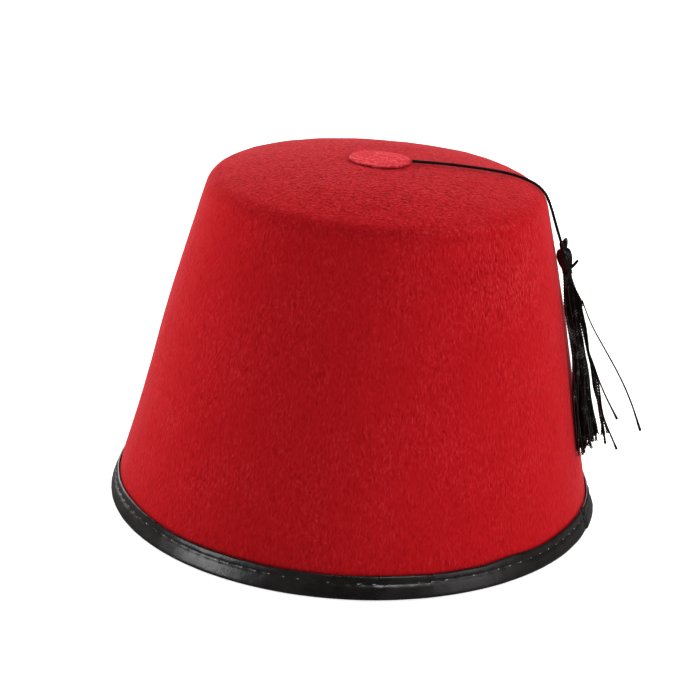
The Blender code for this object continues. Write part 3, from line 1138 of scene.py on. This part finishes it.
def button_section():
    """Half of the disc's section, from the middle of the top, round the rim, to under the disc."""
    under = dome_height(BUTTON_RADIUS) + GAP * 0.6
    top = under + BUTTON_THICKNESS
    line = [
        Vector((BUTTON_HOLE, top + 0.0001, 0)),
        Vector((BUTTON_RADIUS * 0.5, top + 0.00005, 0)),
        Vector((BUTTON_RADIUS - BUTTON_ROUND * 1.6, top - 0.00002, 0)),
        Vector((BUTTON_RADIUS - BUTTON_ROUND * 0.5, top - BUTTON_ROUND * 0.3, 0)),
        Vector((BUTTON_RADIUS, top - BUTTON_ROUND * 1.1, 0)),
        Vector((BUTTON_RADIUS - BUTTON_ROUND * 0.3, under + BUTTON_ROUND * 0.4, 0)),
        Vector((BUTTON_RADIUS - BUTTON_ROUND, under, 0)),
        Vector((BUTTON_RADIUS * 0.5, under + 0.00002, 0)),
        Vector((BUTTON_HOLE, under + 0.00005, 0)),
    ]
    return smooth_line(line, BUTTON_SPACING)


def build_button():
    """The section carried round the middle, with a ragged edge, small lumps and a slight warp."""
    outline = button_section()
    button = ring_stack("button", len(outline), BUTTON_TURNS)
    for vertex in button.data.vertices:
        turn = math.atan2(vertex.co.y, vertex.co.x)
        spot = outline[round(vertex.co.z)]
        edge = (spot.x / BUTTON_RADIUS) ** 3
        from_cord = math.remainder(turn - CORD_TURN, math.tau)
        over_cord = bell(from_cord, 0, CORD_HALF_TURN) * edge * CORD_LIFT
        radius = spot.x + RAGGED * noise.noise(round_point(1, turn) * 9) * edge
        lumps = BUTTON_LUMP * noise.noise(round_point(radius, turn) / BUTTON_LUMP_SIZE)
        height = spot.y + over_cord + lumps + WARP * edge * math.sin(2 * turn + 1)
        vertex.co = round_point(radius, turn, height)
    close_open_ends(button)
    point_faces_out(button)
    return finish_piece(button, "felt_button", lit_button_felt)


button = build_button()
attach(button, "root")
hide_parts("top_button")
print("button has", len(button.data.polygons), "faces")

# %% [markdown]
# ## Tassel
# A tassel is a hank of twisted strands that is folded over the cord's end and bound below the fold.
# The fold makes the round head, the binding makes the neck, and the strands hang below it in
# locks. They spread quickly below the neck and then hang nearly straight, and white slits show
# between them. Each strand is two yarns twisted on each other, so it glints at every half twist.
# Those glints are painted on the strands' outermost spots as a paler colour, in patches.

# %% Places of the tassel
TASSEL_TURN = math.radians(12)
TASSEL_TOP = 0.0990
HEAD_RADIUS = 0.0027
HEAD_LENGTH = 0.0074
# Half the skirt's width at its end and how far that end leans sideways, in millimetres.
SKIRT_SIDE = 6.8
SKIRT_LEAN = -4.5
# Each lock: its place across the skirt, how far off the felt it hangs and how much further at its
# end, and its length, as shares, then its strands and how far they stand from its middle.
LOCK_COLUMNS = ("side", "depth", "drift", "length", "strands", "radius_mm")
LOCKS = [
    (-1, 0.00, 0, 1, 4, 0.80),
    (-0.52, 0.08, 0, 0.98, 4, 0.80),
    (0, 0.06, 0, 0.97, 4, 0.85),
    (0.52, 0.10, 0, 0.98, 4, 0.80),
    (1, 0.14, 0, 0.95, 4, 0.80),
    (-0.70, 0.36, 0.04, 0.97, 4, 0.85),
    (-0.05, 0.46, 0.06, 0.95, 4, 0.85),
    (0.62, 0.40, 0.06, 0.94, 4, 0.85),
    (-0.30, 0.43, 0.20, 0.955, 3, 0.70),
    (-0.25, 1, 0.04, 0.95, 3, 0.50),
    (0.35, 0.94, 0.02, 0.93, 2, 0.50),
]
# The skirt on its way down, in millimetres: how far off the felt its near and far sides are, and
# as shares, how far the locks have fanned out across it and how open each lock is.
STATION_COLUMNS = ("drop", "near", "far", "fan", "open")
STATIONS = [
    (6.6, 2.75, 3.25, 0.06, 0.70),
    (12.4, 2.5, 4.5, 0.12, 0.75),
    (20, 1.8, 6.1, 0.28, 1.15),
    (25, 1.9, 6.5, 0.37, 1.10),
    (29, 2.1, 6.9, 0.45, 0.95),
    (37.5, 2.5, 7.1, 0.57, 1.00),
    (45, 2.1, 8.3, 0.68, 1.05),
    (58, 1.2, 9.2, 0.88, 1.20),
    (73.5, 1.0, 9.9, 1.00, 1.35),
]


def station(drop):
    """The row of the stations at this drop in millimetres, read between the two beside it."""
    table = rows(STATION_COLUMNS, STATIONS)
    for here, there in zip(table, table[1:]):
        if drop <= there["drop"]:
            break
    share = (drop - here["drop"]) / (there["drop"] - here["drop"])
    return {name: here[name] + (there[name] - here[name]) * share for name in STATION_COLUMNS}


def tassel_point(side, drop, away):
    """A point this far round from the tassel's line, below its top, and off the flank."""
    height = TASSEL_TOP - drop
    turn = TASSEL_TURN + side / half_length(height)
    return beside_flank(turn, height, away)[0]


# %% Strands
STRAND_WIDTH = 0.00100
STRAND_TWIST = 0.0021
STRAND_POINTS = 16
STRAND_SPACING = 0.00030
FRAY_POINTS = 7
FRAY = 1.1
YARN_SIDES = 8
# The painted glints start at this share of the strand's radius, on the outermost spots.
GLINT_STARTS = 0.94
draw = random.Random(11)


def strand_line(lock, number):
    """One strand of a lock: it winds and sways a little as it hangs, and ends ragged."""
    first = math.tau * number / lock["strands"] + draw.uniform(-0.5, 0.5)
    wind = draw.uniform(-2.2, 2.2)
    spread = lock["radius_mm"] * draw.uniform(0.8, 1.15)
    reach = lock["length"] * (1 + draw.uniform(-0.050, 0.015))
    sway = draw.uniform(0.18, 0.50)
    phase = draw.uniform(0, math.tau)
    pace = draw.uniform(9, 17)
    top, bottom = STATIONS[0][0], STATIONS[-1][0]
    lowest = GAP * 1000 + STRAND_WIDTH * 500
    points = []
    for share in shares(STRAND_POINTS):
        row = station(top + (bottom - top) * share)
        drop = row["drop"] * (1 + (reach - 1) * share ** 2)
        angle = first + wind * share
        wave = sway * share ** 0.5 * math.sin(phase + share * pace)
        side = (lock["side"] * SKIRT_SIDE * row["fan"] + SKIRT_LEAN * share
                + math.cos(angle) * spread * row["open"] + wave)
        depth = lock["depth"] + lock["drift"] * share ** 2
        away = (row["near"] + (row["far"] - row["near"]) * depth
                + math.sin(angle) * spread * row["open"] + wave)
        points.append(tassel_point(side / 1000, drop / 1000, max(lowest, away) / 1000))
    return smooth_line(points, STRAND_SPACING)


def strand_yarns(line, start):
    """The two yarns of a strand. They come apart a little at the cut end."""
    made = yarns(line, STRAND_WIDTH, STRAND_TWIST, 2, start)
    for yarn in made:
        for step, share in enumerate(shares(FRAY_POINTS)):
            place = len(yarn) - FRAY_POINTS + step
            apart = 1 + FRAY * share ** 2
            yarn[place] = line[place] + (yarn[place] - line[place]) * apart
    return made


def painted_glint_share(place, middle):
    """How strongly a point of a yarn shows the painted glint, by how near it is to the outside of
    its strand.
    """
    out = (place - middle).length / (STRAND_WIDTH / 2)
    return fade(out, GLINT_STARTS, 1 - GLINT_STARTS)


def build_strands(name, locks):
    """All the strands of some locks as one piece, with their outermost spots marked for a painted
    glint.
    """
    vertices, faces, middles = [], [], []
    for lock in locks:
        for number in range(lock["strands"]):
            start = draw.uniform(0, math.tau)
            middle = strand_line(lock, number)
            for line in strand_yarns(middle, start):
                radii = [STRAND_WIDTH / 2 * YARN_SHARE[2]] * len(line)
                radii[-1] *= 0.6
                tube_shell(vertices, faces, line, radii, YARN_SIDES)
                middles += [place for place in middle for _ in range(YARN_SIDES)]
    piece = mesh_piece(name, vertices, faces, rayon)
    mark_painted_glints(piece, [painted_glint_share(place, middle) for place, middle in zip(vertices, middles)])
    return piece


locks = rows(LOCK_COLUMNS, LOCKS)
near_strands = build_strands("skirt_strands_near_felt", locks[:5])
far_strands = build_strands("skirt_strands_outside", locks[5:])
print("strands have", len(near_strands.data.polygons) + len(far_strands.data.polygons), "faces")

# %% Head and neck
HEAD_COLUMNS = ("radius", "drop")
HEAD_OUTLINE = [
    (0.10, -0.03), (0.5, -0.01), (0.86, 0.08), (1, 0.30), (0.98, 0.52), (0.84, 0.78), (0.64, 0.98),
    (0.52, 1.30), (0.50, 1.55),
]
HEAD_FOLDS = 22
HEAD_TURNS = 176
BINDING_THREAD = 0.00032
BINDING_TURNS = 6
BINDING_STEPS = 20
BINDING_RADIUS = HEAD_RADIUS * 0.61
BINDING_WAVER = HEAD_RADIUS * 0.03


def head_frame():
    """The head's own axes, out from the felt, sideways and up, and the place of its top."""
    place, out, up = beside_flank(TASSEL_TURN, TASSEL_TOP, GAP + HEAD_RADIUS)
    return Matrix((out, up.cross(out), up)).transposed().to_4x4(), place


def head_line():
    """The head's outline from its top down: radius, and height below the top."""
    line = []
    for row in rows(HEAD_COLUMNS, HEAD_OUTLINE):
        line.append(Vector((row["radius"] * HEAD_RADIUS, -row["drop"] * HEAD_LENGTH, 0)))
    return smooth_line(line, STRAND_SPACING)


def fold_height(turn, drop):
    """The strands that fold over the head: they run down it, and curl round near its top."""
    swirl = 1.2 * math.exp(-drop * 9)
    waver = 0.10 * math.sin(turn * 3 + drop * 2)
    return abs(math.sin((turn + swirl + waver) * HEAD_FOLDS / 2)) ** 0.7


def build_head():
    """The outline carried round, with a ridge for each fold of the strands."""
    outline = head_line()
    head = ring_stack("head", len(outline), HEAD_TURNS)
    axes, place = head_frame()
    for vertex in head.data.vertices:
        turn = math.atan2(vertex.co.y, vertex.co.x)
        spot = outline[round(vertex.co.z)]
        radius = spot.x * (0.95 + 0.07 * fold_height(turn, -spot.y / HEAD_LENGTH))
        vertex.co = place + axes @ round_point(radius, turn, spot.y)
    close_open_ends(head)
    point_faces_out(head)
    return finish_piece(head, "tassel_head", rayon)


def neck_binding():
    """One thread wound round the neck, a little unevenly."""
    axes, place = head_frame()
    line = []
    for share in shares(BINDING_TURNS * BINDING_STEPS + 1):
        angle = math.tau * BINDING_TURNS * share
        radius = BINDING_RADIUS + BINDING_WAVER * math.sin(angle * 0.37)
        drop = HEAD_LENGTH * 0.99 + BINDING_TURNS * BINDING_THREAD * 0.95 * share
        line.append(place + axes @ round_point(radius, angle, -drop))
    vertices, faces = [], []
    tube_shell(vertices, faces, line, [BINDING_THREAD / 2] * len(line), YARN_SIDES)
    return mesh_piece("neck_binding", vertices, faces, rayon)


head = build_head()
binding = neck_binding()
print("head has", len(head.data.polygons), "faces")

# %% Knot ends
# Each lobe is a cut end of the knot above the head, and the stub is the end of the binding.
LOBES = [
    [
        (0.0660, 0.0139, 0.0980), (0.0657, 0.0134, 0.0999),
        (0.0653, 0.0130, 0.1018), (0.0649, 0.0128, 0.1031),
    ],
    [
        (0.0663, 0.0142, 0.0980), (0.0662, 0.0140, 0.1002),
        (0.0661, 0.0140, 0.1024), (0.0662, 0.0142, 0.1040),
    ],
]
LOBE_RADIUS = 0.00066
LOBE_FULLNESS = 0.00032
LOBE_TAPER = 0.00034
LOBE_SIDES = 12
STUB = [(0.0686, 0.0145, 0.0932), (0.0699, 0.0149, 0.0945), (0.0711, 0.0153, 0.0964)]
STUB_RADIUS = 0.00064
STUB_TAPER = 0.00016
STUB_SIDES = 10
TIP_STARTS = 0.85


def tip(share):
    """0 along most of a thread, and up to 1 at its very end."""
    return fade(share, TIP_STARTS, 1 - TIP_STARTS)


def build_ends():
    """The knot's two lobes, each fullest in the middle, and the binding's stub."""
    vertices, faces = [], []
    for lobe in LOBES:
        line = smooth_line(lobe, 0.00025)
        radii = []
        for share in shares(len(line)):
            fullness = math.sin(share * 2.4) ** 2
            radii.append(LOBE_RADIUS + LOBE_FULLNESS * fullness - LOBE_TAPER * tip(share))
        tube_shell(vertices, faces, line, radii, LOBE_SIDES)
    stub = smooth_line(STUB, 0.0003)
    radii = [STUB_RADIUS - STUB_TAPER * share for share in shares(len(stub))]
    tube_shell(vertices, faces, stub, radii, STUB_SIDES)
    return mesh_piece("knot_ends", vertices, faces, rayon)


knot_ends = build_ends()
print("knot ends have", len(knot_ends.data.polygons), "faces")

# %% Loose threads
# Three single threads that stand off the skirt, and a short strand that one of them leaves.
LOOSE_THREADS = [
    [
        (0.0752, 0.0107, 0.0835), (0.0781, 0.0117, 0.0770), (0.0810, 0.0126, 0.0718),
        (0.0853, 0.0140, 0.0650), (0.0909, 0.0157, 0.0560), (0.0956, 0.0172, 0.0469),
        (0.1000, 0.0187, 0.0362),
    ],
    [
        (0.0795, 0.0120, 0.0636), (0.0820, 0.0129, 0.0585), (0.0844, 0.0137, 0.0531),
        (0.0870, 0.0145, 0.0480), (0.0916, 0.0159, 0.0400),
    ],
    [
        (0.0855, 0.0139, 0.0450), (0.0868, 0.0143, 0.0410), (0.0883, 0.0149, 0.0373),
        (0.0927, 0.0163, 0.0284),
    ],
]
SHORT_STRAND = [
    (0.0692, 0.0140, 0.0895), (0.0722, 0.0122, 0.0862), (0.0745, 0.0110, 0.0835),
    (0.0757, 0.0108, 0.0815),
]
LOOSE_RADIUS = 0.00034
LOOSE_SPACING = 0.0006
LOOSE_SIDES = 6


def build_loose_threads():
    """Threads that thicken a little down to a frayed tip, and the two yarns of the strand."""
    vertices, faces = [], []
    for thread in LOOSE_THREADS:
        line = smooth_line(thread, LOOSE_SPACING)
        radii = []
        for share in shares(len(line)):
            radii.append(LOOSE_RADIUS * (0.8 + 0.3 * share + 0.5 * tip(share)))
        tube_shell(vertices, faces, line, radii, LOOSE_SIDES)
    radius = STRAND_WIDTH / 2 * YARN_SHARE[2]
    for line in strand_yarns(smooth_line(SHORT_STRAND, STRAND_SPACING), 0.5):
        tube_shell(vertices, faces, line, [radius] * len(line), LOOSE_SIDES)
    return mesh_piece("loose_threads", vertices, faces, cord_yarn)


loose_threads = build_loose_threads()
print("loose threads have", len(loose_threads.data.polygons), "faces")

# %% What hangs on the cord
knot_pieces = [head, binding, knot_ends]
for piece in knot_pieces + [near_strands, far_strands, loose_threads]:
    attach(piece, "root")
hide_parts("tassel")
print("on the cord's end:", [piece.name for piece in knot_pieces])

# %% [markdown]
# ## Floor and light
# A plain white floor and a white world give soft light from all round. Large soft boxes at the
# sides and behind make the hat's sides and the top's far edge brighter than its front. Glossy black
# shows little but what it mirrors, so it has panels of its own, which light nothing else: a bright
# one in front on the left, a dim one on the right, a long pale one behind, and two small lamps for
# glints on strands and stitches. The floor glows, as a lit paper sweep does. It is drawn whiter
# than the light that it gives, so that it stays white while the felt isn't lit from below.

# %% Floor and world
WORLD_LIGHT = 0.30
MIRRORED_WORLD = 0.06
FLOOR_GLOW = 0.35
FLOOR_WHITE = 0.55
FLOOR_SIZE = 6
PAPER_GRAIN = 0.004


def white_floor():
    """White paper that is dim grey in gloss."""
    finish, tree, shader, place = new_finish("white_paper_sweep")
    fleck = grain(tree, place, PAPER_GRAIN).outputs["Fac"]
    paper = ramp(tree, fleck, [(0.3, linear("#F6F6F6")), (0.7, linear("#FBFBFB"))])
    path = add_node(tree, "ShaderNodeLightPath")
    mirrored = path.outputs["Is Glossy Ray"]
    colour = mixed(tree, mirrored, paper, linear("#6A6A6A"), "RGBA")
    lit = mixed(tree, path.outputs["Is Camera Ray"], FLOOR_GLOW, FLOOR_WHITE)
    set_inputs(tree, shader, {
        "Base Color": colour, "Roughness": 0.9, "Specular IOR Level": 0.1,
        "Emission Color": (1, 1, 1, 1), "Emission Strength": mixed(tree, mirrored, lit, 0.0),
    })
    clear_selection()
    bpy.ops.mesh.primitive_plane_add(size=FLOOR_SIZE, location=(0, 0, 0))
    floor = bpy.context.object
    floor.name = "floor"
    floor.data.materials.append(finish)
    return floor


def white_world(strength):
    """A studio that looks white, and gives light of this strength."""
    world = bpy.data.worlds.new("white_studio")
    world.use_nodes = True
    tree = world.node_tree
    path = add_node(tree, "ShaderNodeLightPath")
    soft = mixed(tree, path.outputs["Is Diffuse Ray"], MIRRORED_WORLD, strength)
    level = mixed(tree, path.outputs["Is Camera Ray"], soft, 1.0)
    set_inputs(tree, tree.nodes["Background"], {"Color": (1, 1, 1, 1), "Strength": level})
    bpy.context.scene.world = world


floor = white_floor()
white_world(WORLD_LIGHT)
print("floor", FLOOR_SIZE, "m wide, world", WORLD_LIGHT)

# %% Soft boxes
# Where each stands round the hat, how far off and how high, its size in metres and how bright it
# is. One that is mirrored shows in gloss alone, and any other lights matt surfaces alone.
LIGHT_COLUMNS = ("name", "turn_deg", "away", "height", "width", "tall", "radiance", "mirrored")
LIGHTS = [
    ("left_box", 180, 0.85, 0.38, 0.7, 0.75, 4.4, False),
    ("right_box", 0, 0.85, 0.38, 0.6, 0.75, 3.2, False),
    ("back_box", 85, 0.73, 0.79, 1.0, 0.6, 5.3, False),
    ("front_left_mirror", -136, 0.85, 0.24, 0.42, 0.45, 5.0, True),
    ("right_mirror", -10, 0.85, 0.25, 0.4, 0.5, 1.4, True),
    ("back_mirror", 130, 1.3, 0.35, 1.6, 0.9, 3.0, True),
    ("strand_glint", -38, 0.80, 0.75, 0.12, 0.12, 50.0, True),
    ("stitch_glint", -60, 0.10, 1.05, 0.08, 0.08, 25.0, True),
]


def soft_box(name, turn_deg, away, height, width, tall, radiance, mirrored):
    """A lit rectangle that faces the hat."""
    light = bpy.data.lights.new(name, "AREA")
    light.shape = "RECTANGLE"
    light.size = width
    light.size_y = tall
    light.energy = radiance * math.pi * width * tall
    holder = bpy.data.objects.new(name, light)
    bpy.context.scene.collection.objects.link(holder)
    place = round_point(away, math.radians(turn_deg), height)
    holder.location = place
    holder.rotation_euler = (CAMERA_TARGET - place).to_track_quat("-Z", "Y").to_euler()
    holder.visible_camera = False
    holder.visible_diffuse = not mirrored
    holder.visible_glossy = mirrored


for light in rows(LIGHT_COLUMNS, LIGHTS):
    soft_box(**light)
bpy.context.scene.view_settings.view_transform = "Standard"
print("lights:", [item.name for item in bpy.data.lights])
